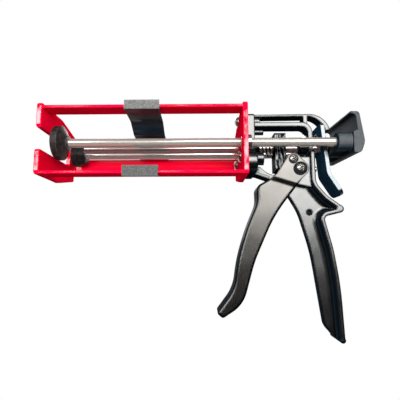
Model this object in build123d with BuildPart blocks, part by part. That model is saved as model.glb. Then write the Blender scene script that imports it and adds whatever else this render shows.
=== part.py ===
from build123d import *
from math import atan2, cos, hypot, pi, radians, sin, sqrt
import os

os.makedirs("parts", exist_ok=True)

# A two-component dispensing gun, in millimetres.
# The frame's origin is the middle of the hand grip, +X runs to the rear and +Z runs up.
# Stations along the gun are counted from the front face of the rear plate, heights from the rods.
AXIS_X = -72.0
AXIS_Z = 110.0

# Two edges closer than this are taken as one
TOUCH = 0.01

# Rods and their fits
ROD_D = 8.0
ROD_R = ROD_D / 2
ROD_GAP = 23.0
ROD_PLACES = {"large": -ROD_GAP, "drive": 0.0, "small": ROD_GAP}
ROD_END = 100.0
ROD_CHAMFER = 0.6
DRIVE_ROD_FRONT = -152.0
RUN_FIT = 0.08
FREE_FIT = 0.6

# Cartridge carriage
BAY_LENGTH = 177.0
PLATE_T = 4.5
PLATE_HALF_W = 41.5
PLATE_HALF_H = 32.2
PLATE_FAR_HALF_H = 24.5
PLATE_TAPER_START = 5.0
PLATE_CORNER_R = 3.0
PLATE_SOFTEN = 0.8
SLOT_HALF_H = 9.8
SLOT_END = 29.0
SLOT_OVERRUN = 10.0
RAIL_W = 18.0
RAIL_T = 2.6
RAIL_INSET = 0.5
RAIL_SOFTEN = 0.8
RAIL_NEAR = -PLATE_HALF_W + RAIL_INSET
RAIL_FAR = RAIL_NEAR + RAIL_W
UPPER_RAIL_TOP = 29.8
UPPER_RAIL_BOTTOM = UPPER_RAIL_TOP - RAIL_T
LOWER_RAIL_BOTTOM = -PLATE_HALF_H + 0.2
LOWER_RAIL_TOP = LOWER_RAIL_BOTTOM + RAIL_T
FAR_RAIL_T = 3.0
FAR_RAIL_TOP = -0.5

# Cradle pieces that clip on the rails
CRADLE_X = -104.0
CRADLE_W = 31.0
CRADLE_T = 2.6
CRADLE_LIP_T = 2.5
CRADLE_LIP_REACH = 7.0
CRADLE_PLAY = 0.4
STRAP_BEND_R = 6.0
LIP_Y = RAIL_NEAR - CRADLE_LIP_T
PAD_X = CRADLE_X - 0.5
PAD_RISE = 3.8
PAD_FAR_RISE = 1.6
PAD_MID_RISE = 2.2
PAD_MID_Y = 7.0
PAD_SKIRT = 2.4
PAD_HOOK = 4.0

# Pistons
PISTONS = {
    "large": {"y": -ROD_GAP, "front": -170.3, "rim_r": 15.8, "length": 11.8, "hub_r": 6.6},
    "small": {"y": ROD_GAP, "front": -171.0, "rim_r": 11.4, "length": 13.5, "hub_r": 8.2},
}
PISTON_RIM_T = 6.6
PISTON_STEP = 0.8
PISTON_DISH = 1.6
PISTON_LAND = 3.0
PISTON_DISH_SLOPE = 1.0
PISTON_EDGE = 0.8
PISTON_HUB_T = 1.2
PISTON_HOLE_R = 2.6
PISTON_FACE_T = 5.0
PISTON_SCREW_R = 2.5
PISTON_SCREW_HEAD_R = 4.6
PISTON_SCREW_TOP_R = 3.8
PISTON_SCREW_SINK = 0.2

# Casting
FLANGE_T = 10.0
FLANGE_REAR = PLATE_T + FLANGE_T
FLANGE_TOP = 32.5
FLANGE_HALF_W = 11.0
FLANGE_FOOT_HALF_W = 26.0
FLANGE_FOOT_TOP = -7.5
FLANGE_BOTTOM = -26.5
FLANGE_CORNER_R = 2.5
FLANGE_FOOT_R = 9.0
FLANGE_EDGE = 1.0
BAR_ROOT = PLATE_T + 1.0
BAR_HALF_W = 6.5
TOP_BAR_T = 2.1
SECOND_BAR_TOP = 24.4
SECOND_BAR_T = 4.1
BAR_BEND_X = 60.0
WALL_FRONT = 66.0
WALL_T = 4.0
WALL_REAR = WALL_FRONT + WALL_T
WALL_HALF_W = 8.0
WALL_FOOT = -30.0
HOOK_C = (68.0, 13.0)
HOOK_R = 20.0
HOOK_T = 4.2
HOOK_END = 12.0
HOOK_BELLY = 0.4
HOOK_BELLY_ANGLE = 50.0
RIB_X = 64.2
RIB_Z = 27.0
RIB_T = 3.8
RIB_H = 11.0
SCREW_BOSSES = [(0.0, 27.4, 4.4, 6.0), (0.0, 17.0, 3.0, 9.5), (-18.5, -14.5, 6.0, 6.0), (18.5, -14.5, 6.0, 6.0)]
BOSS_LENGTH = 9.0
BOSS_R = 8.6
WEB_HALF_T = 3.4
WEB_FRONT_TOP = FLANGE_BOTTOM + 8.0
WEB_SHOULDER = (20.0, WEB_FRONT_TOP)
WEB_DIP = (25.5, -23.6)
WEB_LOW = (34.0, -27.0)
WEB_BLOCK_Z = -28.5
WEB_TOE = (27.0, -31.0)
WEB_HEEL = (16.0, FLANGE_BOTTOM - 0.8)
LIP_T = 2.6
LIP_BEND_R = 8.0
LIP_LINE = [(BAR_ROOT, FLANGE_BOTTOM + LIP_T / 2), (16.0, FLANGE_BOTTOM + LIP_T / 4), (27.5, -30.0)]
RIM_T = 4.2
RIM_EDGE = 1.4
COVE = 5.0
COVE_BITE = 0.3
COVE_MID = COVE * (1 - sqrt(0.5))
PALM_HALF_W = 14.0
HORN_TIP = (90.6, -60.4)
HORN_TIP_R = 3.6
GRIP_TIP_R = 2.6
HORN_LINE = [(67.8, -5.0), (67.8, -37.0), (78.5, -50.0), (90.6, -58.8)]
HORN_RADII = [14.0, 25.0]
PALM_LINE = [(90.6, -62.0), (73.2, -66.0), (81.0, -98.0), (85.6, -130.0), (87.2, -176.6)]
PALM_RADII = [6.0, 120.0, 300.0]
GRIP_FRONT = [(85.4, -178.4), (74.2, -166.0), (65.2, -100.0), (54.8, -63.0), (45.0, -45.8)]
GRIP_FRONT_RADII = [14.0, 200.0, 60.0]
GRIP_FRONT_EDGE = 1.6
GRIP_REACH = 4.0
DIMPLE = (65.3, -62.9)
DIMPLE_R = 2.8
DIMPLE_DEPTH = 1.8

# Screws that hold the casting on the rear plate
FLANGE_SCREWS = [(0.0, 27.0), (-18.5, -12.5), (18.5, -12.5)]
FLANGE_SCREW_R = 2.5
FLANGE_SCREW_HOLE_R = 3.2
FLANGE_SCREW_END = FLANGE_REAR - 3.0
FLANGE_HOLE_DEPTH = FLANGE_T - 1.5
HEAD_R = 5.3
HEAD_H = 3.8
HEAD_SIDE = 1.0
SOCKET_R = 2.3
SOCKET_DEPTH = 2.2

# Bushes
GUIDE_R = 6.0
GUIDE_FLANGE_R = 7.0
GUIDE_FRONT = 0.3
GUIDE_REAR = 9.0
SEAT_T = 4.0
SEAT_R = 7.4
SEAT_EDGE = 1.2

# Trigger and what it drives
PIVOT = (55.7, -22.5)
DRIVE_PIN = (49.6, -13.4)
PIVOT_R = 3.0
DRIVE_PIN_R = 2.5
SLEEVE_R = 5.0
EAR_INNER = 10.6
EAR_OUTER = 13.8
EAR_PLAY = 0.3
EAR_R = 8.0
UPPER_EAR_R = 6.0
EAR_STEP_RUN = 4.0
EAR_STEP_DROP = 1.3
CHANNEL_INNER = 9.2
CHANNEL_OUTER = 12.4
CHANNEL_FACE_T = 3.4
FINGER_ROUND = 2.8
FINGER_REACH = 5.0
TIP_R = 2.6
FINGER_EDGE = [
    (26.5, -32.0),
    (15.0, -38.5),
    (15.3, -54.0),
    (4.9, -78.5),
    (-3.6, -106.0),
    (-7.4, -133.0),
    (-23.4, -154.0),
]
FINGER_RADII = [7.0, 22.0, 160.0, 160.0, 40.0]
REAR_EDGE = [(-17.8, -158.6), (0.8, -146.8), (12.0, -108.0), (31.0, -66.0), (62.5, -26.0)]
REAR_RADII = [30.0, 120.0, 140.0]
CHANNEL_TOP = (40.0, -24.0)
EAR_STEP = [(26.5, -32.6), (49.0, -39.7)]
EAR_FRONT = (33.6, -27.4)
HOLLOW_TOP = 23.5
HOLLOW_SHOULDER = [(66.0, -30.0), (HOLLOW_TOP, -28.0), (HOLLOW_TOP, -37.5), (19.0, -43.0)]
HOLLOW_TIP = [(-14.0, -146.0), (-10.0, -158.0), (30.0, -150.0), (66.0, -40.0), (66.0, -30.0)]
EAR_ROOM = [(HOLLOW_TOP, -34.5), (HOLLOW_TOP, 0.0), (72.0, 0.0), (72.0, -48.5), (49.0, -41.7)]
BLOCK = [(50.2, -22.5), (50.2, -36.2), (66.5, -39.8), (66.5, -10.5), (57.7, -10.5)]
PIVOT_BOSS_R = 5.5
WASHER_T = 1.2
WASHER_R = 6.3
PIVOT_HEAD_Y = -EAR_OUTER - EAR_PLAY - WASHER_T
PIVOT_HEAD_R = 4.6
DRIVE_HEAD_R = 4.4
PIN_HEAD_H = 3.0
NUT_T = 4.0
NUT_PROUD = 1.0
PIVOT_NUT_R = 5.6
DRIVE_NUT_R = 4.6
DRIVE_PLATE_COUNT = 3
DRIVE_PLATE_X = 33.6
DRIVE_PLATE_T = 3.2
DRIVE_PLATE_GAP = 0.5
DRIVE_PLATE_W = 18.0
DRIVE_PLATE_H = 37.5
DRIVE_PLATE_Z = -4.75
DRIVE_PLATE_CORNER_R = 3.0

# Release lever, its stud and its stop
LEVER_T = 3.4
LEVER_HALF_W = 13.0
LEVER_LINE = [(77.9, 21.6), (82.3, -27.0), (94.6, -47.0)]
LEVER_BEND_R = 9.0
LEVER_TAB_R = 6.0
LEVER_TOP_R = 2.5
LEVER_ROD_HOLE_R = ROD_R + 0.7
STUD_R = 2.0
STUD_HOLE_R = 2.9
STUD_Z = 10.5
STUD_HEAD_R = 3.6
STUD_HEAD_T = 2.5
STUD_END = 85.6
STUD_TIP = 0.6
STUD_PLAY = 0.4
STUD_NUT_X = 81.4
STUD_NUT_T = 3.0
STUD_NUT_R = 4.0
STOP_Z = -20.5
STOP_END = 74.6
STOP_R = 2.8
STOP_TIP = 0.6

# Springs
RETURN_WIRE = 1.4
RETURN_COIL_R = 5.3
RETURN_TURNS = 5
BRAKE_WIRE = 1.0
BRAKE_COIL_R = 3.3
BRAKE_TURNS = 3
SPRING_PLAY = 0.1
RETURN_START = FLANGE_REAR + SEAT_T + RETURN_WIRE / 2 + SPRING_PLAY
RETURN_END = DRIVE_PLATE_X - RETURN_WIRE / 2 - SPRING_PLAY
BRAKE_START = WALL_REAR + BRAKE_WIRE / 2 + SPRING_PLAY
BRAKE_END = 76.2

# Rear yoke
YOKE_HALF_W = 33.0
YOKE_FACE = 98.5
YOKE_BOSS_X = 86.0
YOKE_BOSS_R = 8.5
YOKE_BOSS_BITE = 2.0
YOKE_TILT = 2.7
YOKE_LIFT = YOKE_HALF_W * sin(radians(YOKE_TILT))
YOKE_OUTLINE = [
    (YOKE_FACE, -12.6),
    (105.2, -12.6),
    (108.7, -2.5),
    (106.6, 10.5),
    (104.2, 25.0),
    (96.0, 25.0),
    (96.0, 22.8),
    (100.7, 22.6),
    (102.3, 7.8),
    (YOKE_FACE, 7.0),
]
YOKE_RADII = [1.5, 4.5, 12.0, 40.0, 3.2, 0.9, 0.9, 3.0, 1.5, 1.2]
YOKE_EDGE = 0.7
YOKE_SCREW_R = 2.5
YOKE_SCREW_HOLE_R = 2.6
YOKE_SINK_X = 103.5
YOKE_SINK_R = 5.2
YOKE_HEAD_R = 4.6
YOKE_HEAD_TOP_R = 3.2
YOKE_HEAD_EDGE = 105.6
YOKE_HEAD_END = 106.6


def side(y=0.0):
    """Upright plane along the gun: sketch x runs to the rear, sketch y runs up, z runs to the near side."""
    return Plane(origin=(AXIS_X, y, AXIS_Z), x_dir=(1, 0, 0), z_dir=(0, -1, 0))


def across(x):
    """Plane square to the rods at station x: sketch x runs to the far side, sketch y runs up."""
    return Plane(origin=(AXIS_X + x, 0, AXIS_Z), x_dir=(0, 1, 0), z_dir=(1, 0, 0))


def along(y, z=0.0):
    """Half plane through a line parallel to the rods, for turned pieces: sketch x is the station."""
    return Plane(origin=(AXIS_X, y, AXIS_Z + z), x_dir=(1, 0, 0), z_dir=(0, -1, 0))


def athwart(place):
    """Half plane through a line across the gun, for turned pieces: sketch x runs to the far side."""
    return Plane(origin=(AXIS_X + place[0], 0, AXIS_Z + place[1]), x_dir=(0, 1, 0), z_dir=(1, 0, 0))


def rod_axis(y, z=0.0):
    return Axis((AXIS_X, y, AXIS_Z + z), (1, 0, 0))


def cross_axis(place):
    return Axis((AXIS_X + place[0], 0, AXIS_Z + place[1]), (0, 1, 0))


def polar(centre, radius, angle):
    return (centre[0] + radius * cos(radians(angle)), centre[1] + radius * sin(radians(angle)))


def dome_middle(rim_r, height):
    """Depth below the crown and radius of the halfway point on a round screw head."""
    ball_r = (height * height + rim_r * rim_r) / (2 * height)
    half = atan2(rim_r, ball_r - height) / 2
    return ball_r * (1 - cos(half)), ball_r * sin(half)


def gap_to(edge, line):
    """Distance in the side view from the middle of an edge to a polyline."""
    middle = edge.position_at(0.5)
    x = middle.X - AXIS_X
    z = middle.Z - AXIS_Z
    gaps = []
    for (ax, az), (bx, bz) in zip(line, line[1:]):
        run = ((x - ax) * (bx - ax) + (z - az) * (bz - az)) / ((bx - ax) ** 2 + (bz - az) ** 2)
        run = min(1.0, max(0.0, run))
        gaps.append(hypot(x - ax - run * (bx - ax), z - az - run * (bz - az)))
    return min(gaps)


def flank_edges(builder, half_width):
    """Edges that lie in the two flat flanks of a piece, at half_width on either side."""
    chosen = []
    for edge in builder.edges():
        offsets = [abs(abs(edge.position_at(share).Y) - half_width) for share in (0, 0.5, 1)]
        if max(offsets) < TOUCH:
            chosen.append(edge)
    return chosen


def keep(builder, name):
    builder.part.label = name
    export_step(builder.part, f"parts/{name}.step")


def plate_outline():
    """Tall on the near side, tapering over the smaller barrel on the far side."""
    return Polygon(
        (-PLATE_HALF_W, -PLATE_HALF_H),
        (PLATE_TAPER_START, -PLATE_HALF_H),
        (PLATE_HALF_W, -PLATE_FAR_HALF_H),
        (PLATE_HALF_W, PLATE_FAR_HALF_H),
        (PLATE_TAPER_START, PLATE_HALF_H),
        (-PLATE_HALF_W, PLATE_HALF_H),
        align=None,
    )


def soften_rim(builder):
    """Round the long edges of a flat plate on both of its faces."""
    wires = [face.outer_wire() for face in builder.faces().filter_by(Axis.X)]
    fillet([edge for wire in wires for edge in wire.edges()], radius=PLATE_SOFTEN)


# Front plate with the slot that the cartridge nozzle slides into
with BuildPart() as front_plate:
    with BuildSketch(across(-BAY_LENGTH - PLATE_T)) as front_outline:
        plate_outline()
        with Locations((SLOT_END, 0)):
            Rectangle(
                SLOT_END + PLATE_HALF_W + SLOT_OVERRUN,
                2 * SLOT_HALF_H,
                align=(Align.MAX, Align.CENTER),
                mode=Mode.SUBTRACT,
            )
        fillet(front_outline.vertices(), radius=PLATE_CORNER_R)
    extrude(amount=PLATE_T)
    soften_rim(front_plate)
keep(front_plate, "front_plate")

# Rear plate with the rod holes and the flange screw holes
with BuildPart() as rear_plate:
    with BuildSketch(across(0)) as rear_outline:
        plate_outline()
        fillet(rear_outline.vertices(), radius=PLATE_CORNER_R)
    extrude(amount=PLATE_T)
    soften_rim(rear_plate)
    with BuildSketch(across(0)):
        with Locations((-ROD_GAP, 0), (ROD_GAP, 0)):
            Circle(GUIDE_R)
        Circle(ROD_R + FREE_FIT)
        with Locations(*FLANGE_SCREWS):
            Circle(FLANGE_SCREW_HOLE_R)
    extrude(amount=PLATE_T, mode=Mode.SUBTRACT)
keep(rear_plate, "rear_plate")

# Flat bar rails: one above and one below on the loading side, one upright on the far side
with BuildPart() as upper_rail:
    with BuildSketch(across(-BAY_LENGTH)):
        with Locations((RAIL_NEAR, UPPER_RAIL_TOP)):
            Rectangle(RAIL_W, RAIL_T, align=(Align.MIN, Align.MAX))
    extrude(amount=BAY_LENGTH)
    fillet(upper_rail.edges().filter_by(Axis.X), radius=RAIL_SOFTEN)
keep(upper_rail, "upper_rail")

with BuildPart() as lower_rail:
    with BuildSketch(across(-BAY_LENGTH)):
        with Locations((RAIL_NEAR, LOWER_RAIL_BOTTOM)):
            Rectangle(RAIL_W, RAIL_T, align=(Align.MIN, Align.MIN))
    extrude(amount=BAY_LENGTH)
    fillet(lower_rail.edges().filter_by(Axis.X), radius=RAIL_SOFTEN)
keep(lower_rail, "lower_rail")

with BuildPart() as far_rail:
    with BuildSketch(across(-BAY_LENGTH)):
        with Locations((PLATE_HALF_W, FAR_RAIL_TOP)):
            Rectangle(FAR_RAIL_T, RAIL_W, align=(Align.MAX, Align.MAX))
    extrude(amount=BAY_LENGTH)
    fillet(far_rail.edges().filter_by(Axis.X).group_by(Axis.Z)[0], radius=RAIL_SOFTEN)
keep(far_rail, "far_rail")

# Upper cradle: a bowed strap from the upper rail over both barrels to the far rail
FAR_RAIL_MIDDLE = PLATE_HALF_W - FAR_RAIL_T / 2
STRAP_LINE = [
    (RAIL_NEAR, UPPER_RAIL_BOTTOM - CRADLE_T / 2),
    (-14.0, 24.6),
    (2.0, 16.8),
    (29.0, 14.5),
    (FAR_RAIL_MIDDLE, 7.5),
    (FAR_RAIL_MIDDLE, FAR_RAIL_TOP),
]
with BuildPart() as upper_cradle:
    with BuildSketch(across(CRADLE_X)):
        with BuildLine():
            FilletPolyline(*STRAP_LINE, radius=STRAP_BEND_R)
        trace(line_width=CRADLE_T)
        with Locations((LIP_Y, UPPER_RAIL_BOTTOM - CRADLE_T)):
            Rectangle(CRADLE_LIP_T, RAIL_T + 2 * CRADLE_T + CRADLE_PLAY, align=(Align.MIN, Align.MIN))
        with Locations((LIP_Y, UPPER_RAIL_TOP)):
            Rectangle(CRADLE_LIP_T + CRADLE_LIP_REACH, CRADLE_T + CRADLE_PLAY, align=(Align.MIN, Align.MIN))
    extrude(amount=CRADLE_W)
keep(upper_cradle, "upper_cradle")

# Lower cradle: a pad that grips the lower rail
with BuildPart() as lower_cradle:
    with BuildSketch(across(PAD_X)):
        with BuildLine():
            Polyline(
                (LIP_Y, LOWER_RAIL_TOP + PAD_RISE),
                (LIP_Y, LOWER_RAIL_BOTTOM - PAD_SKIRT),
                (RAIL_NEAR + PAD_HOOK, LOWER_RAIL_BOTTOM - PAD_SKIRT),
                (RAIL_NEAR + PAD_HOOK, LOWER_RAIL_BOTTOM),
                (RAIL_NEAR, LOWER_RAIL_BOTTOM),
                (RAIL_NEAR, LOWER_RAIL_TOP),
                (RAIL_FAR, LOWER_RAIL_TOP),
                (RAIL_FAR, LOWER_RAIL_TOP + PAD_FAR_RISE),
            )
            ThreePointArc(
                (RAIL_FAR, LOWER_RAIL_TOP + PAD_FAR_RISE),
                (RAIL_NEAR + PAD_MID_Y, LOWER_RAIL_TOP + PAD_MID_RISE),
                (LIP_Y, LOWER_RAIL_TOP + PAD_RISE),
            )
        make_face()
    extrude(amount=CRADLE_W)
keep(lower_cradle, "lower_cradle")

# Web of the casting: below the rods, from the flange past the pivot to the end of the grip
with BuildPart() as grip_web:
    with BuildSketch(side()) as grip_outline:
        with BuildLine():
            Polyline((BAR_ROOT, FLANGE_BOTTOM), (BAR_ROOT, WEB_FRONT_TOP), WEB_SHOULDER)
            ThreePointArc(WEB_SHOULDER, WEB_DIP, WEB_LOW)
            Polyline(WEB_LOW, (BLOCK[1][0], WEB_BLOCK_Z), BLOCK[0], BLOCK[-1])
            Line(BLOCK[-1], HORN_LINE[0])
            FilletPolyline(*HORN_LINE, radius=HORN_RADII)
            Line(HORN_LINE[-1], PALM_LINE[0])
            FilletPolyline(*PALM_LINE, radius=PALM_RADII)
            Line(PALM_LINE[-1], GRIP_FRONT[0])
            FilletPolyline(*GRIP_FRONT, radius=GRIP_FRONT_RADII)
            Polyline(GRIP_FRONT[-1], WEB_TOE, WEB_HEEL, (BAR_ROOT, FLANGE_BOTTOM))
        make_face()
    extrude(amount=WEB_HALF_T, both=True)
    web_edges = flank_edges(grip_web, WEB_HALF_T)
    front_edges = [edge for edge in web_edges if gap_to(edge, GRIP_FRONT) < GRIP_REACH]
    fillet(front_edges, radius=GRIP_FRONT_EDGE)

# Raised rim of the casting, down the rear wall to the thumb horn
with BuildPart() as horn_rim:
    with BuildSketch(side()):
        with BuildLine():
            FilletPolyline(*HORN_LINE, radius=HORN_RADII)
        trace(line_width=RIM_T)
    extrude(amount=PALM_HALF_W, both=True)
    fillet(flank_edges(horn_rim, PALM_HALF_W), radius=RIM_EDGE)

# Raised rim of the casting, from the horn down the palm
with BuildPart() as palm_rim:
    with BuildSketch(side()):
        with BuildLine():
            FilletPolyline(*PALM_LINE, radius=PALM_RADII)
        trace(line_width=RIM_T)
    extrude(amount=PALM_HALF_W, both=True)
    fillet(flank_edges(palm_rim, PALM_HALF_W), radius=RIM_EDGE)

# Rounded tips of the horn and of the grip's end
with BuildPart() as rim_tips:
    with BuildSketch(side()):
        with Locations(HORN_TIP):
            Circle(HORN_TIP_R)
        with Locations(PALM_LINE[-1]):
            Circle(GRIP_TIP_R)
    extrude(amount=PALM_HALF_W, both=True)
    fillet(flank_edges(rim_tips, PALM_HALF_W), radius=RIM_EDGE)

# Hollow-curved coves between the web and the raised rims, one on each side of the web
with BuildPart() as grip_room:
    extrude(grip_outline.sketch, amount=PALM_HALF_W, both=True)
coves = []
for rim_line, rim_radii in ((HORN_LINE, HORN_RADII), (PALM_LINE, PALM_RADII)):
    (start_x, start_z), (next_x, next_z) = rim_line[:2]
    run = Vector(next_x - start_x, 0, next_z - start_z)
    for flank in (-1, 1):
        face_y = flank * WEB_HALF_T
        bite_y = flank * (WEB_HALF_T - COVE_BITE)
        high_y = flank * (WEB_HALF_T + COVE)
        mid_y = flank * (WEB_HALF_T + COVE_MID)
        rim_side = -RIM_T / 2
        bite_side = rim_side + COVE_BITE
        web_side = rim_side - COVE
        mid_side = rim_side - COVE_MID
        with BuildPart() as cove:
            with BuildLine(side()) as cove_path:
                FilletPolyline(*rim_line, radius=rim_radii)
            start = Vector(AXIS_X + start_x, 0, AXIS_Z + start_z)
            with BuildSketch(Plane(origin=start, x_dir=(0, 1, 0), z_dir=run)):
                with BuildLine():
                    ThreePointArc((face_y, web_side), (mid_y, mid_side), (high_y, rim_side))
                    Polyline((high_y, rim_side), (high_y, bite_side), (bite_y, bite_side))
                    Polyline((bite_y, bite_side), (bite_y, web_side), (face_y, web_side))
                make_face()
            sweep(path=cove_path.wires()[0])
            add(grip_room.part, mode=Mode.INTERSECT)
        coves.append(cove.part)

# Die-cast body: flange, open upper frame, rear wall, web and hand grip in one casting
with BuildPart() as body_casting:
    # Flange against the rear plate, wider at its foot than at its head
    with BuildSketch(across(PLATE_T)) as flange_outline:
        Polygon(
            (-FLANGE_FOOT_HALF_W, FLANGE_BOTTOM),
            (FLANGE_FOOT_HALF_W, FLANGE_BOTTOM),
            (FLANGE_FOOT_HALF_W, FLANGE_FOOT_TOP),
            (FLANGE_HALF_W, FLANGE_FOOT_TOP),
            (FLANGE_HALF_W, FLANGE_TOP),
            (-FLANGE_HALF_W, FLANGE_TOP),
            (-FLANGE_HALF_W, FLANGE_FOOT_TOP),
            (-FLANGE_FOOT_HALF_W, FLANGE_FOOT_TOP),
            align=None,
        )
        foot_corners = [corner for corner in flange_outline.vertices() if abs(corner.X) > FLANGE_HALF_W + TOUCH]
        fillet(foot_corners, radius=FLANGE_FOOT_R)
        neck_corners = [corner for corner in flange_outline.vertices() if abs(corner.X) < FLANGE_HALF_W + TOUCH]
        fillet(neck_corners, radius=FLANGE_CORNER_R)
    extrude(amount=FLANGE_T)
    fillet(body_casting.faces().sort_by(Axis.X)[-1].outer_wire().edges(), radius=FLANGE_EDGE)
    # Top bar that ends in the hook over the release lever
    with BuildSketch(side()):
        with BuildLine():
            outer_start = polar(HOOK_C, HOOK_R, 90)
            inner_start = polar(HOOK_C, HOOK_R - TOP_BAR_T, 90)
            Polyline(inner_start, (BAR_ROOT, FLANGE_TOP - TOP_BAR_T), (BAR_ROOT, FLANGE_TOP), outer_start)
            RadiusArc(outer_start, polar(HOOK_C, HOOK_R, HOOK_END), HOOK_R)
            Line(polar(HOOK_C, HOOK_R, HOOK_END), polar(HOOK_C, HOOK_R - HOOK_T, HOOK_END))
            ThreePointArc(
                polar(HOOK_C, HOOK_R - HOOK_T, HOOK_END),
                polar(HOOK_C, HOOK_R - HOOK_T + HOOK_BELLY, HOOK_BELLY_ANGLE),
                inner_start,
            )
        make_face()
    extrude(amount=BAR_HALF_W, both=True)
    # Second bar that bends down into the rear wall
    with BuildSketch(side()):
        with BuildLine():
            bend_z = SECOND_BAR_TOP - (WALL_REAR - BAR_BEND_X)
            bar_bottom = SECOND_BAR_TOP - SECOND_BAR_T
            Polyline((BAR_BEND_X, bar_bottom), (BAR_ROOT, bar_bottom), (BAR_ROOT, SECOND_BAR_TOP))
            Line((BAR_ROOT, SECOND_BAR_TOP), (BAR_BEND_X, SECOND_BAR_TOP))
            RadiusArc((BAR_BEND_X, SECOND_BAR_TOP), (WALL_REAR, bend_z), WALL_REAR - BAR_BEND_X)
            Polyline((WALL_REAR, bend_z), (WALL_REAR, WALL_FOOT), (WALL_FRONT, WALL_FOOT))
            Line((WALL_FRONT, WALL_FOOT), (WALL_FRONT, bend_z))
            RadiusArc((WALL_FRONT, bend_z), (BAR_BEND_X, bar_bottom), BAR_BEND_X - WALL_FRONT)
        make_face()
    extrude(amount=WALL_HALF_W, both=True)
    # Rib between the two bars
    with BuildSketch(side()):
        with Locations((RIB_X, RIB_Z)):
            Rectangle(RIB_T, RIB_H)
    extrude(amount=BAR_HALF_W, both=True)
    # Round bosses behind the flange
    for boss_y, boss_z, boss_r, boss_reach in SCREW_BOSSES:
        with BuildSketch(across(FLANGE_REAR)):
            with Locations((boss_y, boss_z)):
                Circle(boss_r)
        extrude(amount=boss_reach)
    # Boss that carries the drive rod through the rear wall
    with BuildSketch(across(WALL_FRONT - BOSS_LENGTH)):
        Circle(BOSS_R)
    extrude(amount=BOSS_LENGTH)
    # Web, raised rims and the block that spaces the trigger's ears
    add(grip_web.part)
    add(horn_rim.part)
    add(palm_rim.part)
    add(rim_tips.part)
    for cove_part in coves:
        add(cove_part)
    with BuildSketch(side()):
        Polygon(*BLOCK, align=None)
        with Locations(PIVOT):
            Circle(PIVOT_BOSS_R)
    extrude(amount=EAR_INNER - EAR_PLAY, both=True)
    # Lower lip of the front web
    with BuildSketch(side()):
        with BuildLine():
            FilletPolyline(*LIP_LINE, radius=LIP_BEND_R)
        trace(line_width=LIP_T)
    extrude(amount=WALL_HALF_W, both=True)
    # Dimples in the web
    for flank in (-1, 1):
        with BuildSketch(side(flank * (WEB_HALF_T - DIMPLE_DEPTH / 2))):
            with Locations(DIMPLE):
                Circle(DIMPLE_R)
        extrude(amount=DIMPLE_DEPTH / 2, both=True, mode=Mode.SUBTRACT)
    # Holes for the pivot, the drive rod, the flange screws, the stud and the stop pin
    with BuildSketch(side()):
        with Locations(PIVOT):
            Circle(PIVOT_R)
    extrude(amount=EAR_OUTER, both=True, mode=Mode.SUBTRACT)
    with BuildSketch(across(PLATE_T)):
        Circle(ROD_R + FREE_FIT)
    extrude(amount=WALL_REAR, mode=Mode.SUBTRACT)
    with BuildSketch(across(PLATE_T)):
        with Locations(*FLANGE_SCREWS):
            Circle(FLANGE_SCREW_R)
    extrude(amount=FLANGE_HOLE_DEPTH, mode=Mode.SUBTRACT)
    with BuildSketch(across(WALL_FRONT)):
        with Locations((0, STUD_Z), (0, STOP_Z)):
            Circle(STUD_R)
    extrude(amount=WALL_T, mode=Mode.SUBTRACT)
    # Room for the stud's head in front of the wall
    with BuildSketch(across(WALL_FRONT - STUD_HEAD_T)):
        with Locations((0, STUD_Z)):
            Circle(STUD_HEAD_R + STUD_PLAY)
    extrude(amount=STUD_HEAD_T, mode=Mode.SUBTRACT)
keep(body_casting, "body_casting")

# Button-head screws through the rear plate into the flange
head_sag, head_mid_r = dome_middle(HEAD_R, HEAD_H - HEAD_SIDE)
with BuildPart() as flange_screws:
    for screw_y, screw_z in FLANGE_SCREWS:
        with BuildSketch(along(screw_y, screw_z)):
            with BuildLine():
                Polyline(
                    (-HEAD_H, 0),
                    (FLANGE_SCREW_END, 0),
                    (FLANGE_SCREW_END, FLANGE_SCREW_R),
                    (0, FLANGE_SCREW_R),
                    (0, HEAD_R),
                    (-HEAD_SIDE, HEAD_R),
                )
                ThreePointArc((-HEAD_SIDE, HEAD_R), (-HEAD_H + head_sag, head_mid_r), (-HEAD_H, 0))
            make_face()
        revolve(axis=rod_axis(screw_y, screw_z))
        with BuildSketch(across(-HEAD_H)):
            with Locations((screw_y, screw_z)):
                RegularPolygon(SOCKET_R, 6)
        extrude(amount=SOCKET_DEPTH, mode=Mode.SUBTRACT)
keep(flange_screws, "flange_screws")

# Guide bushes for the two outer rods, pressed into the rear plate from behind
with BuildPart() as rod_guides:
    for guide_y in (-ROD_GAP, ROD_GAP):
        with BuildSketch(along(guide_y)):
            with BuildLine():
                Polyline(
                    (GUIDE_FRONT, ROD_R + RUN_FIT),
                    (GUIDE_REAR, ROD_R + RUN_FIT),
                    (GUIDE_REAR, GUIDE_FLANGE_R),
                    (PLATE_T, GUIDE_FLANGE_R),
                    (PLATE_T, GUIDE_R),
                    (GUIDE_FRONT, GUIDE_R),
                    close=True,
                )
            make_face()
        revolve(axis=rod_axis(guide_y))
keep(rod_guides, "rod_guides")

# Bush that guides the drive rod and seats the return spring
with BuildPart() as spring_seat:
    with BuildSketch(along(0)):
        with BuildLine():
            Polyline(
                (FLANGE_REAR, ROD_R + RUN_FIT),
                (FLANGE_REAR + SEAT_T, ROD_R + RUN_FIT),
                (FLANGE_REAR + SEAT_T, SEAT_R - SEAT_EDGE),
                (FLANGE_REAR + SEAT_T - SEAT_EDGE, SEAT_R),
                (FLANGE_REAR, SEAT_R),
                close=True,
            )
        make_face()
    revolve(axis=rod_axis(0))
keep(spring_seat, "spring_seat")

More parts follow.
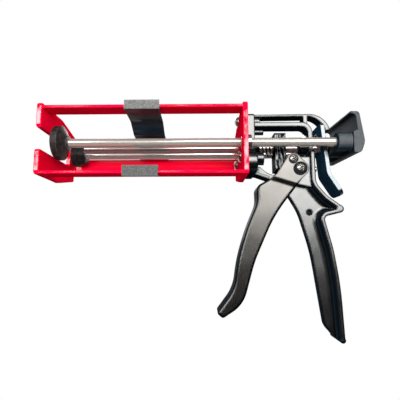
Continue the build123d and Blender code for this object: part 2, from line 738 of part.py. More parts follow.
# Trigger: a channel with a rounded finger face and two ears that straddle the casting
with BuildPart() as trigger:
    # Channel, with its finger side well rounded
    with BuildSketch(side()) as trigger_outline:
        with BuildLine():
            FilletPolyline(*FINGER_EDGE, radius=FINGER_RADII)
            Line(FINGER_EDGE[-1], REAR_EDGE[0])
            FilletPolyline(*REAR_EDGE, radius=REAR_RADII)
            Polyline(REAR_EDGE[-1], CHANNEL_TOP, FINGER_EDGE[0])
        make_face()
        fillet(trigger_outline.vertices().sort_by(Axis.Y)[:2], radius=TIP_R)
    extrude(amount=CHANNEL_OUTER, both=True)
    finger_side = [
        edge for edge in flank_edges(trigger, CHANNEL_OUTER)
        if gap_to(edge, FINGER_EDGE) < min(FINGER_REACH, gap_to(edge, REAR_EDGE))
    ]
    fillet(finger_side, radius=FINGER_ROUND)
    # Ears, set outward of the channel walls and sloped down to them
    with BuildSketch(side()):
        with BuildLine():
            lower_start = polar(PIVOT, EAR_R, 330)
            lower_end = polar(PIVOT, EAR_R, 45)
            upper_start = polar(DRIVE_PIN, UPPER_EAR_R, 50)
            upper_end = polar(DRIVE_PIN, UPPER_EAR_R, 165)
            Line(EAR_STEP[1], lower_start)
            ThreePointArc(lower_start, polar(PIVOT, EAR_R, 8), lower_end)
            Line(lower_end, upper_start)
            ThreePointArc(upper_start, polar(DRIVE_PIN, UPPER_EAR_R, 105), upper_end)
            Polyline(upper_end, EAR_FRONT, EAR_STEP[0], EAR_STEP[1])
        make_face()
    extrude(amount=EAR_OUTER, both=True)
    step_edges = [edge for edge in flank_edges(trigger, EAR_OUTER) if gap_to(edge, EAR_STEP) < TOUCH]
    chamfer(step_edges, length=EAR_STEP_DROP, length2=EAR_STEP_RUN)
    # Hollow of the channel, open to the rear
    with BuildSketch(side()):
        with BuildLine():
            inner = [(x + CHANNEL_FACE_T, z) for x, z in FINGER_EDGE[2:-1]]
            FilletPolyline(HOLLOW_SHOULDER[-1], *inner, HOLLOW_TIP[0], radius=FINGER_RADII[1:])
            Polyline(*HOLLOW_TIP)
            Polyline(*HOLLOW_SHOULDER)
        make_face()
    extrude(amount=CHANNEL_INNER, both=True, mode=Mode.SUBTRACT)
    # Room between the ears
    with BuildSketch(side()):
        Polygon(*EAR_ROOM, align=None)
    extrude(amount=EAR_INNER, both=True, mode=Mode.SUBTRACT)
    # Pivot and drive pin holes
    with BuildSketch(side()):
        with Locations(PIVOT):
            Circle(PIVOT_R + RUN_FIT)
        with Locations(DRIVE_PIN):
            Circle(DRIVE_PIN_R)
    extrude(amount=EAR_OUTER, both=True, mode=Mode.SUBTRACT)
keep(trigger, "trigger")


def headed_pin(shank_r, head_y, head_r, end_y):
    """Half profile of a round-headed pin across the gun, its head on the near side."""
    sag, mid_r = dome_middle(head_r, PIN_HEAD_H - HEAD_SIDE)
    crown = head_y - PIN_HEAD_H
    rim = [
        (crown, 0),
        (end_y, 0),
        (end_y, shank_r),
        (head_y, shank_r),
        (head_y, head_r),
        (head_y - HEAD_SIDE, head_r),
    ]
    return rim, (crown + sag, mid_r)


# Pivot screw with its two washers and its nut, drive screw with its sleeve and its nut
for pin_name, place, shank_r, head_y, head_r, end_y in (
    ("pivot_screw", PIVOT, PIVOT_R, PIVOT_HEAD_Y, PIVOT_HEAD_R, -PIVOT_HEAD_Y + NUT_T + NUT_PROUD),
    ("drive_screw", DRIVE_PIN, DRIVE_PIN_R, -EAR_OUTER, DRIVE_HEAD_R, EAR_OUTER + NUT_T + NUT_PROUD),
):
    rim, crown_mid = headed_pin(shank_r, head_y, head_r, end_y)
    with BuildPart() as pin:
        with BuildSketch(athwart(place)):
            with BuildLine():
                Polyline(*rim)
                ThreePointArc(rim[-1], crown_mid, rim[0])
            make_face()
        revolve(axis=cross_axis(place))
    keep(pin, pin_name)

with BuildPart() as pivot_washers:
    for washer_y in (-EAR_OUTER - EAR_PLAY, EAR_OUTER + EAR_PLAY + WASHER_T):
        with BuildSketch(side(washer_y)):
            with Locations(PIVOT):
                Circle(WASHER_R)
                Circle(PIVOT_R, mode=Mode.SUBTRACT)
        extrude(amount=WASHER_T)
keep(pivot_washers, "pivot_washers")

for nut_name, place, nut_y, nut_r, hole_r in (
    ("pivot_nut", PIVOT, -PIVOT_HEAD_Y + NUT_T, PIVOT_NUT_R, PIVOT_R),
    ("drive_nut", DRIVE_PIN, EAR_OUTER + NUT_T, DRIVE_NUT_R, DRIVE_PIN_R),
):
    with BuildPart() as nut:
        with BuildSketch(side(nut_y)):
            with Locations(place):
                RegularPolygon(nut_r, 6)
                Circle(hole_r, mode=Mode.SUBTRACT)
        extrude(amount=NUT_T)
    keep(nut, nut_name)

with BuildPart() as drive_sleeve:
    with BuildSketch(side()):
        with Locations(DRIVE_PIN):
            Circle(SLEEVE_R)
            Circle(DRIVE_PIN_R, mode=Mode.SUBTRACT)
    extrude(amount=EAR_INNER, both=True)
keep(drive_sleeve, "drive_sleeve")

# Stack of drive plates that grip the drive rod
for plate_index in range(DRIVE_PLATE_COUNT):
    plate_x = DRIVE_PLATE_X + plate_index * (DRIVE_PLATE_T + DRIVE_PLATE_GAP)
    with BuildPart() as drive_plate:
        with BuildSketch(across(plate_x)) as drive_outline:
            with Locations((0, DRIVE_PLATE_Z)):
                Rectangle(DRIVE_PLATE_W, DRIVE_PLATE_H)
            fillet(drive_outline.vertices(), radius=DRIVE_PLATE_CORNER_R)
            Circle(ROD_R + RUN_FIT, mode=Mode.SUBTRACT)
        extrude(amount=DRIVE_PLATE_T)
    keep(drive_plate, f"drive_plate_{plate_index + 1}")


def coil_points(z, x_start, x_end, radius, turns):
    """Quarter-turn stations of a coil round a line along the gun: points and directions."""
    pitch = (x_end - x_start) / turns
    slope = pitch / (2 * pi * radius)
    steepness = sqrt(1 + slope * slope)
    stations = []
    for quarter in range(4 * turns + 1):
        angle = quarter * pi / 2
        point = Vector(
            AXIS_X + x_start + pitch * quarter / 4,
            radius * cos(angle),
            AXIS_Z + z + radius * sin(angle),
        )
        heading = Vector(slope / steepness, -sin(angle) / steepness, cos(angle) / steepness)
        stations.append((point, heading))
    return stations


def biarc_joint(p0, t0, p1, t1):
    """Meeting point and direction of the two arcs that join two stations smoothly."""
    chord = p1 - p0
    both = t0 + t1
    bend = 2 * (1 - t0.dot(t1))
    run = (-chord.dot(both) + sqrt(chord.dot(both) ** 2 + bend * chord.dot(chord))) / bend
    joint = (p0 + p1 + (t0 - t1) * run) * 0.5
    heading = ((p1 - t1 * run) - (p0 + t0 * run)).normalized()
    return joint, heading


# Return spring on the drive rod, and brake spring on the stud
for spring_name, spring_z, x_start, x_end, coil_r, turns, wire in (
    ("return_spring", 0.0, RETURN_START, RETURN_END, RETURN_COIL_R, RETURN_TURNS, RETURN_WIRE),
    ("brake_spring", STUD_Z, BRAKE_START, BRAKE_END, BRAKE_COIL_R, BRAKE_TURNS, BRAKE_WIRE),
):
    coil = coil_points(spring_z, x_start, x_end, coil_r, turns)
    first = coil[0][0] - coil[0][1] * wire
    last = coil[-1][0] + coil[-1][1] * wire
    with BuildPart() as spring:
        with BuildLine():
            Line(first, coil[0][0])
            for (p0, t0), (p1, t1) in zip(coil, coil[1:]):
                joint, heading = biarc_joint(p0, t0, p1, t1)
                TangentArc(p0, joint, tangent=t0)
                TangentArc(joint, p1, tangent=heading)
            Line(coil[-1][0], last)
        with BuildSketch(Plane(origin=first, z_dir=coil[0][1])):
            Circle(wire / 2)
        sweep()
    keep(spring, spring_name)
    turn_gap = min((later[0] - point[0]).length for point, later in zip(coil, coil[4:])) - wire
    print(spring_name, "least gap between turns", round(turn_gap, 2))


def lever_corners(builder):
    """Edges through the thickness of the bent plate, from the lowest to the highest."""
    corners = [edge for edge in builder.edges() if abs(edge.length - LEVER_T) < TOUCH]
    return sorted(corners, key=lambda edge: edge.position_at(0.5).Z)


# Release lever: a bent plate that jams on the drive rod, with a thumb tab below
with BuildPart() as release_lever:
    with BuildSketch(side()):
        with BuildLine():
            FilletPolyline(*LEVER_LINE, radius=LEVER_BEND_R)
        trace(line_width=LEVER_T)
    extrude(amount=LEVER_HALF_W, both=True)
    fillet(lever_corners(release_lever)[:2], radius=LEVER_TAB_R)
    fillet(lever_corners(release_lever)[-2:], radius=LEVER_TOP_R)
    with BuildSketch(across(WALL_FRONT)):
        Circle(LEVER_ROD_HOLE_R)
        with Locations((0, STUD_Z)):
            Circle(STUD_HOLE_R)
    extrude(amount=YOKE_BOSS_X - WALL_FRONT, mode=Mode.SUBTRACT)
keep(release_lever, "release_lever")

# Stud that holds the lever, with its nut behind, and the stop pin in front of the lever
with BuildPart() as brake_stud:
    with BuildSketch(along(0, STUD_Z)):
        with BuildLine():
            Polyline(
                (WALL_FRONT - STUD_HEAD_T, 0),
                (STUD_END, 0),
                (STUD_END, STUD_R - STUD_TIP),
                (STUD_END - STUD_TIP, STUD_R),
                (WALL_FRONT, STUD_R),
                (WALL_FRONT, STUD_HEAD_R),
                (WALL_FRONT - STUD_HEAD_T, STUD_HEAD_R),
                close=True,
            )
        make_face()
    revolve(axis=rod_axis(0, STUD_Z))
keep(brake_stud, "brake_stud")

with BuildPart() as brake_nut:
    with BuildSketch(across(STUD_NUT_X)):
        with Locations((0, STUD_Z)):
            RegularPolygon(STUD_NUT_R, 6)
            Circle(STUD_R, mode=Mode.SUBTRACT)
    extrude(amount=STUD_NUT_T)
keep(brake_nut, "brake_nut")

with BuildPart() as lever_stop:
    with BuildSketch(along(0, STOP_Z)):
        with BuildLine():
            Polyline(
                (WALL_FRONT, 0),
                (STOP_END, 0),
                (STOP_END, STOP_R - STOP_TIP),
                (STOP_END - STOP_TIP, STOP_R),
                (WALL_REAR, STOP_R),
                (WALL_REAR, STUD_R),
                (WALL_FRONT, STUD_R),
                close=True,
            )
        make_face()
    revolve(axis=rod_axis(0, STOP_Z))
keep(lever_stop, "lever_stop")

# Rods: the two outer ones carry the pistons, the middle one is the drive rod
for rod_name, rod_y in ROD_PLACES.items():
    rod_front = PISTONS[rod_name]["front"] + PISTON_FACE_T if rod_name in PISTONS else DRIVE_ROD_FRONT
    with BuildPart() as rod:
        with BuildSketch(across(rod_front)):
            with Locations((rod_y, 0)):
                Circle(ROD_R)
        extrude(amount=ROD_END - rod_front)
        chamfer(rod.edges().filter_by(GeomType.CIRCLE), length=ROD_CHAMFER)
    keep(rod, f"{rod_name}_rod")

# Pistons: a rim, a cone behind it that ends in a short hub, and a shallow dish in front
for piston_name, piston_size in PISTONS.items():
    front = piston_size["front"]
    rear = front + piston_size["length"]
    rim_r = piston_size["rim_r"]
    hub_r = piston_size["hub_r"]
    with BuildPart() as piston:
        with BuildSketch(along(piston_size["y"])):
            with BuildLine():
                Polyline(
                    (front + PISTON_DISH, PISTON_HOLE_R),
                    (front + PISTON_DISH, rim_r - PISTON_LAND - PISTON_DISH_SLOPE),
                    (front, rim_r - PISTON_LAND),
                    (front, rim_r - PISTON_EDGE),
                    (front + PISTON_EDGE, rim_r),
                    (front + PISTON_RIM_T - PISTON_EDGE, rim_r),
                    (front + PISTON_RIM_T, rim_r - PISTON_STEP),
                    (rear - PISTON_HUB_T, hub_r),
                    (rear, hub_r),
                    (rear, ROD_R),
                    (front + PISTON_FACE_T, ROD_R),
                    (front + PISTON_FACE_T, PISTON_HOLE_R),
                    close=True,
                )
            make_face()
        revolve(axis=rod_axis(piston_size["y"]))
    keep(piston, f"{piston_name}_piston")

# Screws that hold the pistons on the rod ends
with BuildPart() as piston_screws:
    for piston_size in PISTONS.values():
        screw_x = piston_size["front"]
        with BuildSketch(along(piston_size["y"])):
            with BuildLine():
                Polyline(
                    (screw_x + PISTON_SCREW_SINK, 0),
                    (screw_x + PISTON_FACE_T, 0),
                    (screw_x + PISTON_FACE_T, PISTON_SCREW_R),
                    (screw_x + PISTON_DISH, PISTON_SCREW_R),
                    (screw_x + PISTON_DISH, PISTON_SCREW_HEAD_R),
                    (screw_x + PISTON_SCREW_SINK, PISTON_SCREW_TOP_R),
                    close=True,
                )
            make_face()
        revolve(axis=rod_axis(piston_size["y"]))
keep(piston_screws, "piston_screws")

# Rear yoke: a lipped pull handle, a little higher on the far side, that ties the three rods together
with BuildPart() as yoke_handle:
    far_way = (0, cos(radians(YOKE_TILT)), sin(radians(YOKE_TILT)))
    near_way = (0, -far_way[1], -far_way[2])
    with BuildSketch(Plane(origin=(AXIS_X, 0, AXIS_Z + YOKE_LIFT), x_dir=(1, 0, 0), z_dir=near_way)):
        with BuildLine():
            FilletPolyline(*YOKE_OUTLINE, radius=YOKE_RADII, close=True)
        make_face()
    extrude(amount=YOKE_HALF_W, both=True)
    yoke_ends = yoke_handle.faces().sort_by(Axis((0, 0, 0), far_way))
    fillet(yoke_ends[0].edges() + yoke_ends[-1].edges(), radius=YOKE_EDGE)
    rod_spots = [(rod_y, 0) for rod_y in ROD_PLACES.values()]
    with BuildSketch(across(YOKE_BOSS_X)):
        with Locations(*rod_spots):
            Circle(YOKE_BOSS_R)
    extrude(amount=YOKE_FACE + YOKE_BOSS_BITE - YOKE_BOSS_X)
    fillet(yoke_handle.faces().sort_by(Axis.X)[:3].edges(), radius=YOKE_EDGE)
    with BuildSketch(across(YOKE_BOSS_X)):
        with Locations(*rod_spots):
            Circle(ROD_R)
    extrude(amount=ROD_END - YOKE_BOSS_X, mode=Mode.SUBTRACT)
    with BuildSketch(across(ROD_END)):
        with Locations(*rod_spots):
            Circle(YOKE_SCREW_HOLE_R)
    extrude(amount=YOKE_SINK_X - ROD_END, mode=Mode.SUBTRACT)
    with BuildSketch(across(YOKE_SINK_X)):
        with Locations(*rod_spots):
            Circle(YOKE_SINK_R)
    extrude(amount=YOKE_SINK_X, mode=Mode.SUBTRACT)
keep(yoke_handle, "yoke_handle")

with BuildPart() as yoke_screws:
    for screw_y in ROD_PLACES.values():
        with BuildSketch(along(screw_y)):
            with BuildLine():
                Polyline(
                    (ROD_END, 0),
                    (YOKE_HEAD_END, 0),
                    (YOKE_HEAD_END, YOKE_HEAD_TOP_R),
                    (YOKE_HEAD_EDGE, YOKE_HEAD_R),
                    (YOKE_SINK_X, YOKE_HEAD_R),
                    (YOKE_SINK_X, YOKE_SCREW_R),
                    (ROD_END, YOKE_SCREW_R),
                    close=True,
                )
            make_face()
        revolve(axis=rod_axis(screw_y))
keep(yoke_screws, "yoke_screws")
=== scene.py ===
# %% [markdown]
# # A two-cartridge caulking gun
# The gun's solids come from CAD as a fixed frame, in metres: x runs along the rods, y away from the
# camera and z up. This lesson gives each of them the finish of the real tool: red powder coat, black
# paint, chromed rods, bright screws, grained plastic and rubber. Two screws and two springs are made
# again as finer meshes. Then a studio is set round the gun, with the camera where the photograph was
# taken.

# %% Load the frame
from math import cos, pi, radians, sin

import bmesh
import bpy
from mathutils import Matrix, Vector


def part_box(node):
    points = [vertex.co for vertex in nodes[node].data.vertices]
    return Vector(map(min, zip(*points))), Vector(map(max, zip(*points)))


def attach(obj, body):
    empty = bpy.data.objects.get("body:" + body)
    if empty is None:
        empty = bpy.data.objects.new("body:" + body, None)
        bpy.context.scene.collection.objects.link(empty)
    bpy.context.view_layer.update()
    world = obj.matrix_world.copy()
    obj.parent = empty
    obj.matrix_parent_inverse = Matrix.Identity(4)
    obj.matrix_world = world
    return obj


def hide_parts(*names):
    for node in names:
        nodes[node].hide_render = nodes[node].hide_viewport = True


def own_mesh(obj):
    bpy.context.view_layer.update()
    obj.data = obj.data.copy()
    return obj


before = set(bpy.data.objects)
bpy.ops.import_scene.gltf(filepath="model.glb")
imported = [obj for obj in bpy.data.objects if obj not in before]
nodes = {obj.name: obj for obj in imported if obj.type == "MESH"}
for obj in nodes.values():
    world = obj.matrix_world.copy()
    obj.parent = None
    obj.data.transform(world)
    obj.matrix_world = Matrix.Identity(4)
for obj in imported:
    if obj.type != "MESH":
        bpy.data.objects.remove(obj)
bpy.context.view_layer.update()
scene = bpy.context.scene

# %% [markdown]
# ## Writing shaders as sums
# Blender's shader nodes can be wired by hand, but a long chain of Math nodes is hard to read.
# A small class holds one socket and turns Python's operators into Math nodes, so that a mask reads
# like the formula it is. A second class holds a node tree and makes any other node in a single call.

# %% A socket that can be added, multiplied and taken from a number
class Wire:
    """One output socket of a node tree, with the arithmetic that masks need."""

    def __init__(self, tree, socket):
        self.tree = tree
        self.socket = socket

    def math(self, operation, first, second, clamp=False):
        node = self.tree.nodes.new("ShaderNodeMath")
        node.operation = operation
        node.use_clamp = clamp
        for slot, value in zip(node.inputs, (first, second)):
            if isinstance(value, Wire):
                self.tree.links.new(value.socket, slot)
            else:
                slot.default_value = value
        return Wire(self.tree, node.outputs[0])

    def __add__(self, other):
        return self.math("ADD", self, other)

    __radd__ = __add__

    def __sub__(self, other):
        return self.math("SUBTRACT", self, other)

    def __rsub__(self, other):
        return self.math("SUBTRACT", other, self)

    def __mul__(self, other):
        return self.math("MULTIPLY", self, other)

    __rmul__ = __mul__

    def clamped(self):
        return self.math("ADD", self, 0.0, clamp=True)

    def between(self, low, high):
        """0 at low, 1 at high, straight between them."""
        return ((self - low) * (1.0 / (high - low))).clamped()

    def beside(self, output):
        """Another output of the same node."""
        return Wire(self.tree, self.socket.node.outputs[output])


# %% A node tree that makes any node in one call
class NodeSheet:
    """A node tree and the one method that adds nodes to it."""

    def __init__(self, tree):
        self.tree = tree

    def add(self, kind, settings=None, sockets=None, out=0):
        """Any node: its type, its settings, then the values or links of its sockets."""
        node = self.tree.nodes.new(kind)
        for key, value in (settings or {}).items():
            setattr(node, key, value)
        for key, value in (sockets or {}).items():
            if isinstance(value, Wire):
                self.tree.links.new(value.socket, node.inputs[key])
            else:
                node.inputs[key].default_value = value
        return Wire(self.tree, node.outputs[out])


# %% [markdown]
# ## A finish
# Paint, plating and plastic all differ a little from place to place. An unwrapped picture could show
# that, but the gun has dozens of small solids to unwrap. Noise in the solid's own space needs no
# unwrapping and runs on round every corner, so each finish is one shader with a few noises.

# %% A finish and its noises
MIX_LOW, MIX_HIGH, MIX_RESULT = 6, 7, 2
CLOUDY = (0.3, 0.7)


class Finish(NodeSheet):
    """One material: a Principled shader and the nodes that feed it."""

    def __init__(self, name, **constants):
        self.material = bpy.data.materials.new(name)
        self.material.use_nodes = True
        super().__init__(self.material.node_tree)
        self.shader = self.tree.nodes["Principled BSDF"]
        for socket_name, value in constants.items():
            self.shader.inputs[socket_name.replace("_", " ")].default_value = value

    def feed(self, socket_name, wire):
        self.tree.links.new(wire.socket, self.shader.inputs[socket_name])

    def place(self):
        return self.add("ShaderNodeTexCoord", out="Object")

    def axes(self, vector):
        split = self.add("ShaderNodeSeparateXYZ", sockets={"Vector": vector})
        return [split.beside(axis) for axis in "XYZ"]

    def noise(self, scale, detail=3.0, stretch=(1.0, 1.0, 1.0)):
        spot = self.add("ShaderNodeMapping", sockets={"Vector": self.place(), "Scale": stretch})
        sockets = {"Vector": spot, "Scale": scale, "Detail": detail}
        return self.add("ShaderNodeTexNoise", sockets=sockets)

    def mix(self, factor, low, high):
        """Colour mix: low where factor is 0, high where it is 1."""
        sockets = {"Factor": factor, MIX_LOW: low, MIX_HIGH: high}
        return self.add("ShaderNodeMix", {"data_type": "RGBA"}, sockets, out=MIX_RESULT)

    def tones(self, noise, low, high):
        """Two tones that drift into each other, as on a cloudy surface."""
        return self.mix(noise.between(*CLOUDY), low, high)


def dress(finish, *names):
    """Give a finish to the CAD solids that carry it."""
    for name in names:
        solid = nodes[name]
        solid.data.materials.clear()
        solid.data.materials.append(finish.material)
    print(finish.material.name, "on", len(names), "solids")


# %% [markdown]
# ## Edges, cheeks and grain
# On the real tool, edges wear first; the finishes make edges paler for that wear and as a painted
# highlight. The flat cheeks that look sideways, towards the lamps, are painted lighter as painted
# light on the black castings and plastics, while the rest is painted dark as shade. Such places
# could be painted by hand. Here they come from the direction of the surface: it is exact, and
# because both hinges turn about the y axis, a cheek stays a cheek at every pose.

# %% Masks from the direction of the surface
BEVEL_SAMPLES = 6
EDGE_SEEN, EDGE_FULL = 0.01, 0.16
SOFT_RADIUS = 0.0004


def softened(finish, radius):
    """The surface direction, with its sharp edges rounded by a radius in metres."""
    return finish.add("ShaderNodeBevel", {"samples": BEVEL_SAMPLES}, {"Radius": radius})


def edges(finish, radius):
    """1 along edges, 0 on open faces; finishes use it for wear and a painted highlight."""
    flat = finish.add("ShaderNodeNewGeometry", out="Normal")
    sockets = {0: softened(finish, radius), 1: flat}
    likeness = finish.add("ShaderNodeVectorMath", {"operation": "DOT_PRODUCT"}, sockets, out="Value")
    return (1.0 - likeness).between(EDGE_SEEN, EDGE_FULL)


def cheeks(finish, low, high):
    """1 on faces that look sideways, along y; low and high are squares of the direction's y."""
    sideways = finish.axes(finish.add("ShaderNodeNewGeometry", out="Normal"))[1]
    return (sideways * sideways).between(low, high)


def bump(finish, height, strength, distance, radius=SOFT_RADIUS):
    """Surface grain on top of slightly rounded edges."""
    sockets = {"Height": height, "Strength": strength, "Distance": distance}
    sockets["Normal"] = softened(finish, radius)
    finish.feed("Normal", finish.add("ShaderNodeBump", sockets=sockets))


print("edges are softened by", SOFT_RADIUS * 1000, "mm unless a finish says more")

# %% [markdown]
# ## Red powder coat
# The carriage is cut from flat bar and coated in gloss red powder. Powder flows as it melts, so the
# face has a faint orange peel and pulls thin on sharp edges. The lighter line along the edges stands
# for that thin coat and for a painted highlight. A plain gloss would put one broad glare on it. A
# clear coat that comes and goes with a noise breaks the glare into streaks, across the plates and
# along the rails.

# %% Red powder coat
RED_LOW, RED_HIGH = (0.55, 0.001, 0.015, 1), (0.64, 0.001, 0.022, 1)
# Paler red on the edges: thin coat, and a painted highlight.
THIN_AND_LIT_RED = (0.80, 0.05, 0.10, 1)


def powder_coat(name, shine, flow_stretch):
    """Gloss red; shine is the strength of the bright streaks on its front faces."""
    red = Finish(name, Specular_IOR_Level=0.0, Coat_Roughness=0.05, Coat_IOR=1.8)
    cloud = red.noise(28.0)
    peel = red.noise(700.0, detail=1.0)
    flow = red.noise(160.0, detail=2.0, stretch=flow_stretch).between(0.38, 0.62)
    face = red.tones(cloud, RED_LOW, RED_HIGH)
    red.feed("Base Color", red.mix(edges(red, radius=0.0012) * 0.25, face, THIN_AND_LIT_RED))
    red.feed("Roughness", 0.26 + cloud * 0.12)
    red.feed("Coat Weight", cheeks(red, low=0.80, high=0.97) * flow * shine)
    bump(red, peel, strength=0.12, distance=0.0004, radius=0.0007)
    return red


plate_red = powder_coat("red_plates", shine=1.0, flow_stretch=(1.0, 1.0, 0.5))
rail_red = powder_coat("red_rails", shine=0.35, flow_stretch=(0.15, 1.0, 1.0))
dress(plate_red, "front_plate", "rear_plate")
dress(rail_red, "upper_rail", "lower_rail", "far_rail")

# %% [markdown]
# ## Black paint on the castings
# The body and the trigger are die-cast and sprayed with a thin satin black. Their cheeks mirror the
# softbox behind the camera, so they look grey above and black below, and their colour is painted
# lighter as painted light. The other faces, hollows among them, are painted dark navy as painted
# shade and dark reflection, and the edges paler for wear and as a painted highlight. A painted mask
# could say where, but the cheeks are just the faces that look sideways. The trigger's painted light
# is a little warmer in tone. The floor of the small dimple in the grip looks sideways too, but it
# lies in shade, so the distance from the dimple's middle paints it black as painted shade.

# %% Black casting paint
DIMPLE_X, DIMPLE_Z, DIMPLE_R = -0.0067, 0.0471, 0.0028
DIMPLE_RIM = 0.9
# Navy painted shade and dark reflection, painted shade in the dimple, paler edges for wear and a
# painted highlight.
PAINTED_SHADE_NAVY = (0.008, 0.015, 0.023, 1)
DIMPLE_PAINTED_SHADE = (0.003, 0.004, 0.005, 1)
WORN_AND_LIT_EDGE_GREY = (0.17, 0.17, 0.165, 1)


def in_dimple(finish):
    """1 inside the round dimple, 0 outside it."""
    x, _, z = finish.axes(finish.place())
    across = x - DIMPLE_X
    up = z - DIMPLE_Z
    return (across * across + up * up).between(DIMPLE_R**2, (DIMPLE_R * DIMPLE_RIM) ** 2)


def casting_paint(name, lit_low, lit_high):
    """Satin black whose cheeks get painted light in the two given tones."""
    cast = Finish(name, Specular_IOR_Level=0.0, Specular_Tint=(0.04, 0.05, 0.06, 1))
    cloud = cast.noise(60.0, detail=4.0)
    grain = cast.noise(1600.0, detail=2.0)
    dimple = in_dimple(cast)
    # Cheeks get painted light; the dimple is kept dark as painted shade.
    bright = cheeks(cast, low=0.25, high=0.92) * (1.0 - dimple)
    face = cast.mix(bright, PAINTED_SHADE_NAVY, cast.tones(cloud, lit_low, lit_high))
    worn = cast.mix(edges(cast, radius=0.0006) * 0.35, face, WORN_AND_LIT_EDGE_GREY)
    cast.feed("Base Color", cast.mix(dimple, worn, DIMPLE_PAINTED_SHADE))
    cast.feed("Metallic", 0.5 + bright.between(0.0, 0.3) * 0.5)
    cast.feed("Roughness", 0.21 + cloud * 0.10)
    bump(cast, grain, strength=0.02, distance=0.0002, radius=0.0020)
    return cast


# The two lit tones are painted light; the trigger's are a little warmer.
body_black = casting_paint("black_casting", (0.084, 0.085, 0.084, 1), (0.112, 0.112, 0.109, 1))
trigger_black = casting_paint("trigger_paint", (0.078, 0.075, 0.070, 1), (0.104, 0.099, 0.092, 1))
dress(body_black, "body_casting")
dress(trigger_black, "trigger")

# %% [markdown]
# ## Chromed rods
# The rods are ground along their length and plated. Fine lines run round a rod where it slides through
# its bushes, and long faint streaks follow the stroke. A pure mirror would show the studio too hard, so
# the plating is not quite metal and not quite smooth. The far rod lies in the shade of the other two,
# so its plating is set brighter to look the same. The middle rod, which the drive plates grip, is set
# darker and pinker than the others.

# %% Chromed rods
STREAK_STRETCH = (0.12, 6.0, 6.0)
RING_STRETCH = (30.0, 0.4, 0.4)


def bar_finish(name, low_tone, high_tone):
    """A ground and plated bar, with streaks along it and rings round it."""
    bar = Finish(name, Metallic=0.78)
    streak = bar.noise(90.0, detail=2.0, stretch=STREAK_STRETCH)
    ring = bar.noise(60.0, detail=1.0, stretch=RING_STRETCH)
    bar.feed("Base Color", bar.tones(streak, low_tone, high_tone))
    bar.feed("Roughness", 0.07 + streak * 0.09 + ring * 0.03)
    bump(bar, ring, strength=0.03, distance=0.0001)
    return bar


large_chrome = bar_finish("large_rod_chrome", (0.40, 0.355, 0.31, 1), (0.56, 0.52, 0.47, 1))
small_chrome = bar_finish("small_rod_chrome", (0.80, 0.77, 0.72, 1), (0.92, 0.90, 0.86, 1))
middle_rod_chrome = bar_finish("middle_rod_plating", (0.40, 0.29, 0.27, 1), (0.60, 0.49, 0.47, 1))
dress(large_chrome, "large_rod")
dress(small_chrome, "small_rod")
dress(middle_rod_chrome, "drive_rod")

# %% [markdown]
# ## Bright zinc on screws, pins and bushes
# Small steel parts are zinc plated. The plating is slightly cloudy, and tool marks dull it. Colour,
# gloss and grain could each have a noise of their own, but on plating they change together, so one
# noise drives all three. Several finishes below are made by the same helper.

# %% Bright zinc
def mottled(name, noise, tones, rough, grain, spread=CLOUDY, **constants):
    """A finish whose colour, roughness and grain follow one noise.

    rough is a base and a span, grain is a bump's strength and distance, and spread is the part of
    the noise over which the first tone goes over into the second.
    """
    finish = Finish(name, **constants)
    spots = finish.noise(**noise)
    rough_base, rough_span = rough
    finish.feed("Base Color", finish.mix(spots.between(*spread), *tones))
    finish.feed("Roughness", rough_base + spots * rough_span)
    bump(finish, spots, *grain)
    return finish


zinc = mottled(
    "bright_zinc",
    noise={"scale": 420.0},
    tones=((0.34, 0.315, 0.285, 1), (0.52, 0.50, 0.46, 1)),
    rough=(0.18, 0.18),
    grain=(0.08, 0.0001),
    Metallic=1.0,
)
dress(
    zinc, "flange_screws", "rod_guides", "pivot_nut", "drive_nut",
    "brake_stud", "brake_nut", "lever_stop", "yoke_screws", "piston_screws",
)

# %% [markdown]
# ## Cross recesses
# The pivot screw and the drive screw have domed heads with a cross recess for the driver. A dark mark
# in the material would look flat from the side, so the recess is cut: a plus-shaped bit is taken away
# from a copy of each screw, and the copy stands in for the plain one. The recess lies in shade, so its
# floor and walls get a matt dark material of their own as painted shade.

# %% The bit of the driver
ARM_HALF_W = 0.00055
ARM_REACH = 0.0024
RECESS_DEPTH = 0.0012
RECESS_TURN = radians(32)
BIT_OVERRUN = 0.001


def put(name, data):
    """A new object, linked into the scene."""
    thing = bpy.data.objects.new(name, data)
    scene.collection.objects.link(thing)
    return thing


def cross_outline(middle_x, middle_z):
    """The twelve corners of a turned plus, as seen from the front."""
    quarter_arm = [(ARM_REACH, ARM_HALF_W), (ARM_HALF_W, ARM_HALF_W), (ARM_HALF_W, ARM_REACH)]
    outline = []
    for quarter in range(4):
        turn = quarter * pi / 2 + RECESS_TURN
        for across, up in quarter_arm:
            x = middle_x + across * cos(turn) - up * sin(turn)
            z = middle_z + across * sin(turn) + up * cos(turn)
            outline.append((x, z))
    return outline


def driver_bit(name, outline, front_y, back_y):
    """A closed prism with the cross as its section."""
    count = len(outline)
    corners = [(x, y, z) for y in (front_y, back_y) for x, z in outline]
    sides = [(k, k + count, (k + 1) % count + count, (k + 1) % count) for k in range(count)]
    ends = [tuple(range(count)), tuple(range(2 * count - 1, count - 1, -1))]
    mesh = bpy.data.meshes.new(name)
    mesh.from_pydata(corners, [], sides + ends)
    return put(name, mesh)


print("cross", ARM_REACH * 2000, "mm wide and", RECESS_DEPTH * 1000, "mm deep")

# %% A welded copy, the cut and its shading
WELD_GAP = 1e-6
SHARP_ANGLE = radians(30)


def welded_copy(node_name):
    """The screw's mesh with its doubled points joined, because a cut needs a closed body."""
    mesh = nodes[node_name].data.copy()
    welded = bmesh.new()
    welded.from_mesh(mesh)
    bmesh.ops.remove_doubles(welded, verts=welded.verts, dist=WELD_GAP)
    welded.to_mesh(mesh)
    welded.free()
    return mesh


